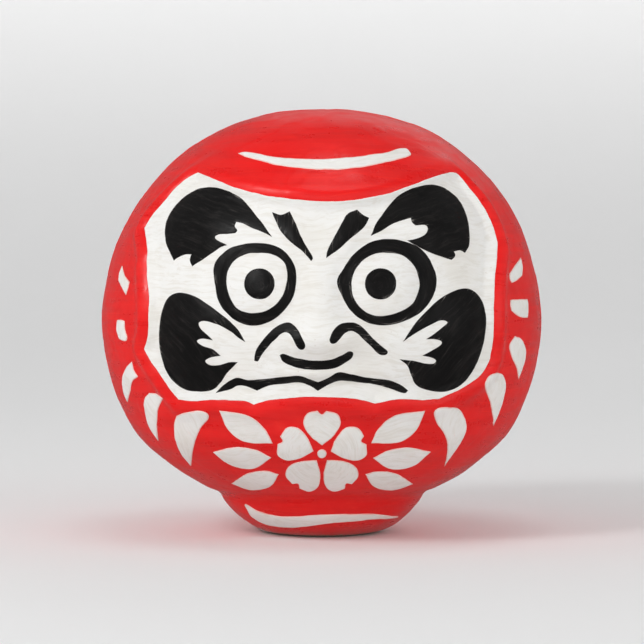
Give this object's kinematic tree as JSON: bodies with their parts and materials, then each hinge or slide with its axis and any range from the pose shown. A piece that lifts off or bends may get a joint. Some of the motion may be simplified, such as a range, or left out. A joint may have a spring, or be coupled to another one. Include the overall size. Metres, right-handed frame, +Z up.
{
  "type": "daruma doll",
  "caption": "Round-bottomed hollow paper doll with a clay weight in its base, a painted face in a recessed window and a plain blossom on its belly; it rests on a small flat and rights itself.",
  "frame": {"origin": "centre of the flat underside the doll stands on", "axes": "+Z up through the crown, the face looks along -Y, +X to the right as seen by someone facing the doll"},
  "size_m": [0.1666, 0.1613, 0.1603],
  "materials": {
    "red_paper": "satin",
    "red_strip": "satin",
    "raw_paper": "matte",
    "painted_clay": "satin",
    "kraft_paper": "matte",
    "hide_glue": "gloss",
    "white_coat": "matte",
    "black_paint": "satin"
  },
  "bodies": {
    "root": {"front_shell": "red_paper", "rear_shell": "red_paper", "outer_seam_strip": "red_strip", "inner_seam_strip": "raw_paper", "base_weight": "painted_clay", "base_patch": "kraft_paper", "glue_bead": "hide_glue", "foot_line": "white_coat", "face_coat": "white_coat", "hood_line": "white_coat", "robe_strokes_right": "white_coat", "robe_strokes_left": "white_coat", "belly_blossom": "white_coat", "belly_leaves": "white_coat", "brow_right": "black_paint", "brow_left": "black_paint", "frown_lines": "black_paint", "eye_ring_left": "black_paint", "eye_ring_right": "black_paint", "pupil_left": "black_paint", "pupil_right": "black_paint", "nose_lines": "black_paint", "lip_line": "black_paint", "mouth_line": "black_paint", "moustache_right": "black_paint", "moustache_left": "black_paint"}
  },
  "joints": []
}
